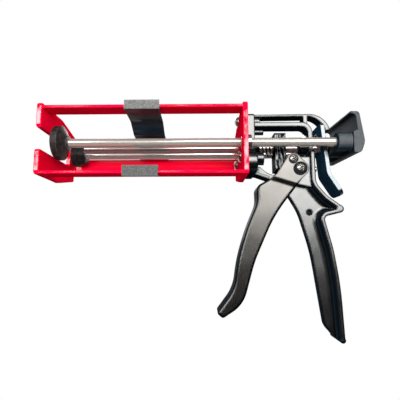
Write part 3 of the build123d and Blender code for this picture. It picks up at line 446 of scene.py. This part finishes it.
def take_away(piece, bit):
    """Cut the bit out of the piece for good, and shade what is left."""
    cut = piece.modifiers.new("recess", "BOOLEAN")
    cut.object = bit
    depsgraph = bpy.context.evaluated_depsgraph_get()
    finished = bpy.data.meshes.new_from_object(piece.evaluated_get(depsgraph))
    piece.modifiers.clear()
    piece.data = finished
    bpy.data.objects.remove(bit)
    finished.polygons.foreach_set("use_smooth", [True] * len(finished.polygons))
    finished.set_sharp_from_angle(angle=SHARP_ANGLE)
    return finished


print("facets stay sharp above", round(SHARP_ANGLE * 180 / pi), "degrees")

# %% Screws with a recess
FLOOR_GAP = 2e-5
WALL_TILT = 0.1
# A matt dark material, as painted shade, for the floor and walls of each recess.
recess_shade = Finish(
    "recess_painted_shade", Roughness=0.6, Specular_IOR_Level=0.1, Base_Color=(0.02, 0.018, 0.016, 1)
)


def paint_recess_shade(mesh, middle_x, middle_z, floor_y):
    """Zinc all over, painted shade on the floor and the walls of the recess."""
    mesh.materials.clear()
    mesh.materials.append(zinc.material)
    mesh.materials.append(recess_shade.material)
    for face in mesh.polygons:
        x, y, z = face.center
        on_floor = abs(y - floor_y) < FLOOR_GAP
        near_axis = abs(x - middle_x) < ARM_REACH and abs(z - middle_z) < ARM_REACH
        on_wall = near_axis and y < floor_y and abs(face.normal.y) < WALL_TILT
        face.material_index = int(on_floor or on_wall)


def recessed(node_name, body):
    """The screw again, with its recess, in the place of the CAD solid."""
    low_corner, high_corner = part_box(node_name)
    middle_x = (low_corner[0] + high_corner[0]) / 2
    middle_z = (low_corner[2] + high_corner[2]) / 2
    head_y = low_corner[1]
    floor_y = head_y + RECESS_DEPTH
    outline = cross_outline(middle_x, middle_z)
    bit = driver_bit(node_name + "_driver", outline, head_y - BIT_OVERRUN, floor_y)
    piece = put(node_name + "_recessed", welded_copy(node_name))
    finished = take_away(piece, bit)
    paint_recess_shade(finished, middle_x, middle_z, floor_y)
    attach(piece, body)
    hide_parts(node_name)
    print(piece.name, "faces", len(finished.polygons))


recessed("pivot_screw", "frame")
recessed("drive_screw", "trigger")

# %% [markdown]
# ## Release lever
# The lever is stamped from dark sheet and its cut edges are bare metal. Its faces are painted a dark
# navy, as painted reflection of the dark studio.
# Two materials could be given face by face. One material that asks which way the surface looks does
# the same and softens the border: the cut edges are the ones that look sideways.

# %% Lever with navy painted reflection and bare cut edges
# The faces' navy is painted reflection of the dark studio.
NAVY_REFLECTION_LOW, NAVY_REFLECTION_HIGH = (0.006, 0.022, 0.040, 1), (0.012, 0.034, 0.058, 1)
BARE_EDGE = (0.118, 0.130, 0.134, 1)
lever = Finish("dark_lever_navy_reflection", Specular_IOR_Level=0.0, Specular_Tint=(0.3, 0.35, 0.4, 1))
lever_cloud = lever.noise(180.0)
lever_cut = cheeks(lever, low=0.25, high=0.6)
lever_navy_reflection = lever.tones(lever_cloud, NAVY_REFLECTION_LOW, NAVY_REFLECTION_HIGH)
lever.feed("Base Color", lever.mix(lever_cut, lever_navy_reflection, BARE_EDGE))
lever.feed("Metallic", lever_cut)
lever.feed("Roughness", 0.20 + lever_cloud * 0.16)
bump(lever, lever_cloud, strength=0.06, distance=0.0001)
dress(lever, "release_lever")

# %% [markdown]
# ## Blackened steel
# The seat of the return spring and the sleeve on the drive screw are turned from steel and left oily
# black. A flat black would hide their shape, so small flecks of a fine noise catch the light.

# %% Blackened steel
blackened = mottled(
    "blackened_steel",
    noise={"scale": 1500.0, "detail": 4.0},
    tones=((0.010, 0.011, 0.014, 1), (0.12, 0.12, 0.12, 1)),
    rough=(0.30, 0.25),
    grain=(0.20, 0.0002),
    spread=(0.50, 0.80),
    Metallic=1.0,
)
dress(blackened, "spring_seat", "drive_sleeve")

# %% [markdown]
# ## Drive plates
# The three plates that grip the rod are punched from hardened strip. The punch tears their edges, so
# bright streaks stand between black ones. Cut grooves would be finer than the picture shows. A noise
# drawn out upwards, with a narrow change from black to bright, gives the same torn look.

# %% Torn plate edges
torn = mottled(
    "drive_plate_steel",
    noise={"scale": 420.0, "detail": 4.0, "stretch": (2.0, 1.0, 0.35)},
    tones=((0.004, 0.005, 0.007, 1), (0.15, 0.15, 0.15, 1)),
    rough=(0.26, 0.25),
    grain=(0.35, 0.0004),
    spread=(0.52, 0.64),
    Metallic=1.0,
    Specular_Tint=(0.1, 0.1, 0.1, 1),
)
dress(torn, "drive_plate_1", "drive_plate_2", "drive_plate_3")

# %% [markdown]
# ## Black washers
# The pivot screw has a washer under its head and one under its nut. Both are black oxide, and their
# near-black colour also stands for the shade in the ring round each screw head, as painted shade.
# Paint's finish could be used again, but oxide has no gloss to speak of, so it gets one of its own with
# the mirror part of the shader turned off.

# %% Black oxide and painted shade
oxide_and_shade = mottled(
    "black_oxide_and_painted_shade",
    noise={"scale": 500.0},
    # The near-black tones are oxide and also painted shade round the screw heads.
    tones=((0.003, 0.004, 0.006, 1), (0.010, 0.012, 0.015, 1)),
    rough=(0.35, 0.2),
    grain=(0.10, 0.0001),
    Specular_IOR_Level=0.0,
)
dress(oxide_and_shade, "pivot_washers")

# %% [markdown]
# ## Coil springs
# One spring pushes the drive plates back after a stroke, the other holds the release lever against its
# stud. A swept curve could draw them, but a spring that has to shorten with its joint must be a plain
# mesh. So rings of points are carried along a helix between the same two seats as in CAD, with half a
# turn closed flat at each end, as on a real compression spring. The drawn wire keeps a film of oil.

# %% Spring wire
wire = mottled(
    "spring_wire",
    noise={"scale": 900.0, "detail": 2.0},
    tones=((0.06, 0.06, 0.06, 1), (0.24, 0.24, 0.23, 1)),
    rough=(0.18, 0.15),
    grain=(0.08, 0.0001),
    Metallic=1.0,
)
print(wire.material.name, "is ready for the coils")

# %% Rings of points along a helix
RING_POINTS = 12
STEPS_PER_TURN = 32
CLOSED_TURN = 0.5


def helix_rings(start, run, coil_r, wire_r, turns):
    """Points of the wire's skin, ring by ring; the closed end turns don't climb."""
    start_x, middle_y, middle_z = start
    steps = turns * STEPS_PER_TURN
    closed = CLOSED_TURN / turns
    points = []
    for step in range(steps + 1):
        share = step / steps
        rise = min(max((share - closed) / (1 - 2 * closed), 0.0), 1.0)
        turn = 2 * pi * turns * share
        for point in range(RING_POINTS):
            angle = 2 * pi * point / RING_POINTS
            reach = coil_r + wire_r * cos(angle)
            x = start_x + run * rise + wire_r * sin(angle)
            points.append((x, middle_y + reach * cos(turn), middle_z + reach * sin(turn)))
    return points


def tube_faces(steps):
    """Quads from each ring to the next, and a cap at both ends."""
    faces = []
    for step in range(steps):
        for point in range(RING_POINTS):
            near = step * RING_POINTS + point
            beside = step * RING_POINTS + (point + 1) % RING_POINTS
            faces.append((near, near + RING_POINTS, beside + RING_POINTS, beside))
    last = steps * RING_POINTS
    faces.append(tuple(range(RING_POINTS)))
    faces.append(tuple(range(last + RING_POINTS - 1, last - 1, -1)))
    return faces


print("a turn has", RING_POINTS * STEPS_PER_TURN, "quads")

# %% A coil between two seats
def coil(node_name, wire_d, turns):
    """The spring, drawn inside the box of its CAD solid; returned with its seat and its length."""
    low_corner, high_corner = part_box(node_name)
    wire_r = wire_d / 2
    coil_r = (high_corner[1] - low_corner[1]) / 2 - wire_r
    middle_y = (low_corner[1] + high_corner[1]) / 2
    middle_z = (low_corner[2] + high_corner[2]) / 2
    start = (low_corner[0] + wire_r, middle_y, middle_z)
    run = high_corner[0] - low_corner[0] - wire_d
    points = helix_rings(start, run, coil_r, wire_r, turns)
    mesh = bpy.data.meshes.new(node_name + "_coil")
    mesh.from_pydata(points, [], tube_faces(turns * STEPS_PER_TURN))
    mesh.polygons.foreach_set("use_smooth", [True] * len(mesh.polygons))
    mesh.materials.append(wire.material)
    piece = put(node_name + "_coil", mesh)
    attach(piece, "frame")
    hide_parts(node_name)
    print(piece.name, "turns", turns, "radius mm", round(coil_r * 1000, 2))
    return piece, low_corner[0], high_corner[0] - low_corner[0]


# %% Two springs as plain meshes
return_coil, seat_x, length = coil("return_spring", wire_d=0.0014, turns=5)
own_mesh(return_coil)
brake_coil, seat_x, length = coil("brake_spring", wire_d=0.0010, turns=3)
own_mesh(brake_coil)

# %% [markdown]
# ## Grained plastic
# The yoke and the cradles are moulded in black plastic with a fine spark-eroded grain. The soft grey
# that the softbox gives the faces that look sideways is painted into the colour as painted light, and
# the other faces are painted dark navy as painted shade and dark reflection; edges are painted paler
# as a highlight. The cradles' other faces come from a polished part of the mould, so a clear coat
# there mirrors the red rails. The grain could be bump alone, but at this size its peaks also read as
# paler specks, so the same noise breaks the painted light into specks. The lower cradle's painted
# light is darker than the upper's, as painted shade.

# %% Grained black plastic
# Navy painted shade and dark reflection away from the lamps; paler edges as a painted highlight.
NAVY_SHADE_LOW, NAVY_SHADE_HIGH = (0.003, 0.007, 0.011, 1), (0.007, 0.012, 0.017, 1)
EDGE_HIGHLIGHT_GREY = (0.14, 0.14, 0.14, 1)


def grained_plastic(name, gloss, lit_tone):
    """Painted light, grained, on the sideways faces; gloss is the polish of the others."""
    plastic = Finish(name, Specular_IOR_Level=0.03, Coat_Roughness=0.12)
    grain = plastic.noise(1250.0, detail=2.0)
    cloud = plastic.noise(45.0)
    side = cheeks(plastic, low=0.35, high=0.97)
    speckle = 0.34 + grain.between(0.35, 0.65) * 0.66
    face = plastic.mix(side * speckle, plastic.tones(cloud, NAVY_SHADE_LOW, NAVY_SHADE_HIGH), lit_tone)
    plastic.feed("Base Color", plastic.mix(edges(plastic, radius=0.0010) * 0.4, face, EDGE_HIGHLIGHT_GREY))
    plastic.feed("Roughness", 0.42 + grain * 0.18)
    plastic.feed("Coat Weight", (1.0 - side) * gloss)
    bump(plastic, grain, strength=0.30, distance=0.0003, radius=0.0008)
    return plastic


POLISHED, UNPOLISHED = 0.4, 0.0
# The pale tones are painted light; the lower cradle's is darker as painted shade.
strap_plastic = grained_plastic("cradle_plastic", POLISHED, (0.114, 0.112, 0.106, 1))
lower_cradle_shaded_plastic = grained_plastic("lower_cradle_shaded_plastic", POLISHED, (0.070, 0.068, 0.064, 1))
yoke_plastic = grained_plastic("yoke_plastic", UNPOLISHED, (0.056, 0.060, 0.061, 1))
dress(strap_plastic, "upper_cradle")
dress(lower_cradle_shaded_plastic, "lower_cradle")
dress(yoke_plastic, "yoke_handle")

# %% [markdown]
# ## Rubber pistons
# The pistons are matt and slightly dusty, and their rim edges get a painted highlight. A flat dark
# grey would lose the round rim, so the dust is a noise and the painted highlight comes from the
# edge mask.

# %% Rubber
RUBBER_LOW, RUBBER_DUSTY = (0.006, 0.005, 0.005, 1), (0.022, 0.017, 0.016, 1)
# Paler rims: a painted highlight along the rim edges.
RIM_HIGHLIGHT = (0.075, 0.066, 0.064, 1)
rubber = Finish("black_rubber", Specular_IOR_Level=0.16)
rubber_dust = rubber.noise(240.0, detail=4.0)
rubber_face = rubber.mix(rubber_dust.between(0.4, 0.8), RUBBER_LOW, RUBBER_DUSTY)
rubber.feed("Base Color", rubber.mix(edges(rubber, radius=0.0009) * 0.7, rubber_face, RIM_HIGHLIGHT))
rubber.feed("Roughness", 0.30 + rubber_dust * 0.25)
bump(rubber, rubber_dust, strength=0.15, distance=0.0002, radius=0.0006)
dress(rubber, "large_piston", "small_piston")

# %% [markdown]
# ## Camera
# The photograph was taken from a third of a metre away and a little below the rods, looking slightly
# up. A view could be found by eye, but the carriage has long straight edges, so the place, the three
# angles and the lens were solved from them.

# %% Camera
SENSOR_MM = 36.0
LENS_MM = 31.58
NEAREST = 0.01
CAMERA_PLACE = (-0.1059, -0.3353, 0.0155)
CAMERA_DEGREES = (97.53, 0.10, 0.75)
camera_data = bpy.data.cameras.new("camera")
camera_data.sensor_width = SENSOR_MM
camera_data.lens = LENS_MM
camera_data.clip_start = NEAREST
camera = put("camera", camera_data)
camera.location = CAMERA_PLACE
camera.rotation_euler = [radians(angle) for angle in CAMERA_DEGREES]
scene.camera = camera
print("lens", LENS_MM, "mm at", tuple(round(v, 3) for v in camera.location))

# %% [markdown]
# ## Softboxes
# A tool for a catalogue is lit by large soft lamps. The key stands behind the camera from eye level
# upwards, because the castings' cheeks mirror that place. A low front lamp fills the rest: it is hidden
# from mirrors, so that the lower grip stays black. Weaker ones above, at the left and behind lift the
# edges. One bare lamp would be simpler, but it would show as a hard spot on every rod.

# %% Five softboxes
def softbox(name, place, degrees, size, power):
    """A rectangular lamp in watts, turned by three angles in degrees."""
    data = bpy.data.lights.new(name, "AREA")
    data.shape = "RECTANGLE"
    data.size, data.size_y = size
    data.energy = power
    lamp = put(name, data)
    lamp.location = place
    lamp.rotation_euler = [radians(angle) for angle in degrees]
    print(name, power, "W")
    return lamp


softbox("key_softbox", (0.22, -1.00, 0.46), (82, 15, 6), size=(0.90, 0.66), power=15.0)
softbox("top_softbox", (-0.15, -0.15, 0.95), (9, 0, 0), size=(0.9, 0.6), power=3.0)
softbox("left_softbox", (-0.80, -1.00, 0.42), (76, 0, -34), size=(0.5, 0.5), power=6.0)
front_lamp = softbox("front_softbox", (-0.08, -1.15, 0.12), (90, 0, 5), size=(0.8, 0.3), power=31.0)
front_lamp.visible_glossy = False
softbox("back_softbox", (-0.10, 1.10, 0.45), (-72, 0, 0), size=(1.0, 0.7), power=8.0)

# %% [markdown]
# ## World
# The backdrop is plain white. A white world would also flood the gun with light from all sides and
# wash out the black, so it is white only to the camera, to mirrors and to clear things, and a plain
# grey level to everything else.

# %% World
AMBIENT = 0.20
world = bpy.data.worlds.new("studio")
world.use_nodes = True
scene.world = world
sky = NodeSheet(world.node_tree)
rays = sky.add("ShaderNodeLightPath", out="Is Camera Ray")
seen = (rays + rays.beside("Is Glossy Ray") + rays.beside("Is Transmission Ray")).clamped()
backdrop = sky.tree.nodes["Background"]
backdrop.inputs["Color"].default_value = (1, 1, 1, 1)
sky.tree.links.new((AMBIENT + seen * (1.0 - AMBIENT)).socket, backdrop.inputs["Strength"])
print("world level", AMBIENT, "and white where it is seen")

# %% [markdown]
# ## Floor and dark cards
# The floor lies well below the hand and fades out towards its rim, so that no edge of it shows.
# Photographers stand black cards round shiny things to give them dark lines. Here five of them, below
# the key, at both sides, above and below, keep the rods from turning plain white. They are seen by
# mirrors only and throw no shadow, so they change nothing else.

# %% Floor
FLOOR_Z = -0.50
FLOOR_HALF = 0.65
FADE_FROM_SQUARED = 0.06


def level_corners(x_range, y_range, z):
    """Four corners of a level board."""
    (left, right), (near, far) = x_range, y_range
    return [(left, near, z), (right, near, z), (right, far, z), (left, far, z)]


def board(name, corners, finish):
    """A flat studio board from its four corners."""
    mesh = bpy.data.meshes.new(name)
    mesh.from_pydata(corners, [], [(0, 1, 2, 3)])
    mesh.materials.append(finish.material)
    panel = put(name, mesh)
    return panel


floor_paint = Finish("floor", Roughness=0.9, Base_Color=(0.50, 0.50, 0.50, 1))
floor_x, floor_y, _ = floor_paint.axes(floor_paint.place())
floor_reach = floor_x * floor_x + floor_y * floor_y
floor_paint.feed("Alpha", 1.0 - floor_reach.between(FADE_FROM_SQUARED, FLOOR_HALF**2))
floor_range = (-FLOOR_HALF, FLOOR_HALF)
board("floor", level_corners(floor_range, floor_range, FLOOR_Z), floor_paint)
print("floor at", FLOOR_Z)

# %% Dark cards
LEFT, RIGHT = -1.3, 1.1
NEAR, SIDE_FAR, FAR = -0.95, 0.6, 0.9
LOW_TOP, SIDE_TOP, OVER_Z, UNDER_Z = 0.04, 0.5, 0.9, -0.48


def wall_corners(foot, other_foot, top):
    """Four corners of an upright board that stands on the floor between two foot points."""
    return [(*foot, FLOOR_Z), (*other_foot, FLOOR_Z), (*other_foot, top), (*foot, top)]


card_paint = Finish("dark_card", Roughness=0.9, Base_Color=(0.010, 0.012, 0.015, 1))
cards = {
    "low_card": wall_corners((LEFT, NEAR), (RIGHT, NEAR), LOW_TOP),
    "left_card": wall_corners((LEFT, NEAR), (LEFT, SIDE_FAR), SIDE_TOP),
    "right_card": wall_corners((RIGHT, NEAR), (RIGHT, SIDE_FAR), SIDE_TOP),
    "over_card": level_corners((LEFT, RIGHT), (NEAR, FAR), OVER_Z),
    "under_card": level_corners((LEFT, RIGHT), (NEAR, FAR), UNDER_Z),
}
for card_name, card_corners in cards.items():
    card = board(card_name, card_corners, card_paint)
    card.visible_camera = False
    card.visible_diffuse = False
    card.visible_shadow = False
print("dark cards:", len(cards))

# %% [markdown]
# ## Colours as written
# The Standard view shows each colour as it is written, without a film curve.

# %% Close
scene.view_settings.view_transform = "Standard"
